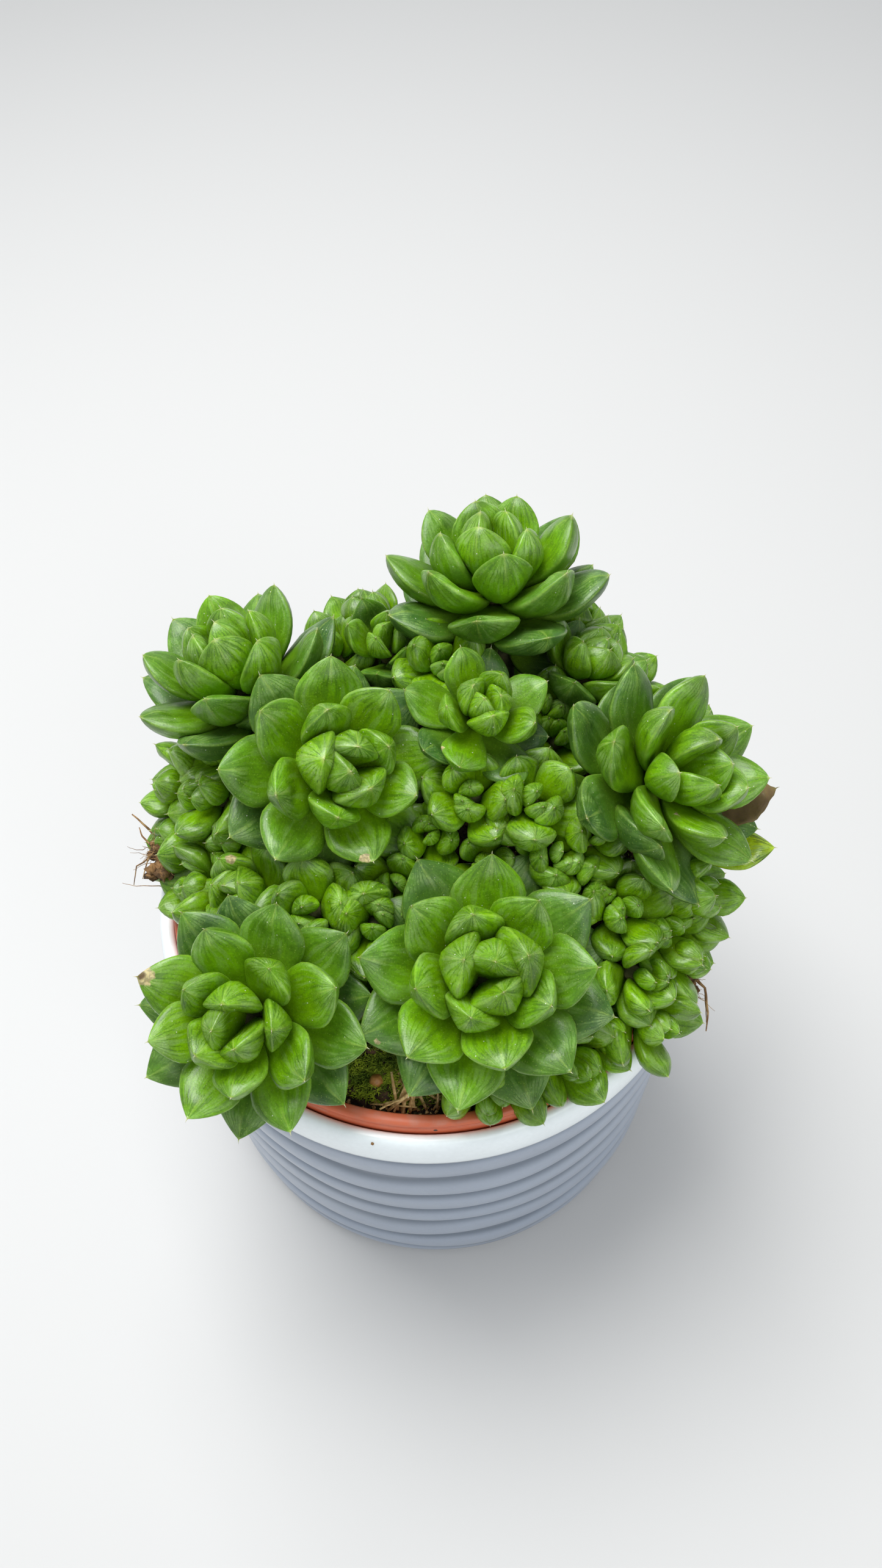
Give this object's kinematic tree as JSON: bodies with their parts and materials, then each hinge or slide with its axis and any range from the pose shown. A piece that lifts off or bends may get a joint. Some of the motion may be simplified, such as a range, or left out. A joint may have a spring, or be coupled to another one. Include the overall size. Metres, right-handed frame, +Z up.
{
  "type": "potted haworthia",
  "caption": "Crowded clump of plump green haworthia rosettes and offsets in a terracotta nursery pot, set in a ribbed pale glazed cover pot",
  "frame": {"origin": "centre of the cover pot's foot, on the surface it stands on", "axes": "+Z is up along the pots' common axis, -Y is the front that the picture shows, +X is the viewer's right"},
  "size_m": [0.1471, 0.1459, 0.1838],
  "materials": {
    "glaze": "glossy pale blue-grey glaze with fine specks",
    "terracotta_plastic": "satin moulded plastic, terracotta orange",
    "peat": "crumbly dark peat with bark chips, straw and moss",
    "leaf": "satin fleshy leaf, darker lengthwise veins under translucent tips"
  },
  "bodies": {
    "root": {"cover_pot": "glaze", "nursery_pot": "terracotta_plastic", "peat": "peat", "rosette_front": "leaf", "offset_front_left_1": "leaf", "offset_front_left_2": "leaf", "rosette_front_left": "leaf", "rosette_left": "leaf", "rosette_right": "leaf", "rosette_back": "leaf", "rosette_back_left": "leaf", "rosette_middle": "leaf", "offset_middle_1": "leaf", "offset_middle_2": "leaf", "offset_middle_3": "leaf", "offset_middle_4": "leaf", "offset_middle_5": "leaf", "offset_middle_6": "leaf", "offset_middle_7": "leaf", "offset_middle_8": "leaf", "offset_left_1": "leaf", "offset_left_2": "leaf", "offset_left_3": "leaf", "offset_left_4": "leaf", "offset_left_5": "leaf", "offset_left_6": "leaf", "offset_left_7": "leaf", "offset_back_1": "leaf", "offset_back_2": "leaf", "offset_back_3": "leaf", "offset_back_4": "leaf", "offset_back_right_1": "leaf", "offset_back_right_2": "leaf", "offset_back_right_3": "leaf", "offset_right_1": "leaf", "offset_right_2": "leaf", "offset_right_3": "leaf", "offset_right_4": "leaf", "offset_right_5": "leaf", "offset_right_6": "leaf", "offset_right_7": "leaf", "offset_right_8": "leaf", "offset_front_1": "leaf", "offset_front_2": "leaf", "offset_front_3": "leaf", "offset_front_4": "leaf", "offset_rear_1": "leaf", "offset_rear_2": "leaf", "offset_rear_3": "leaf", "offset_rear_4": "leaf", "offset_rear_5": "leaf", "offset_rear_6": "leaf", "offset_rear_7": "leaf", "offset_rear_8": "leaf", "offset_rear_9": "leaf"}
  },
  "joints": []
}
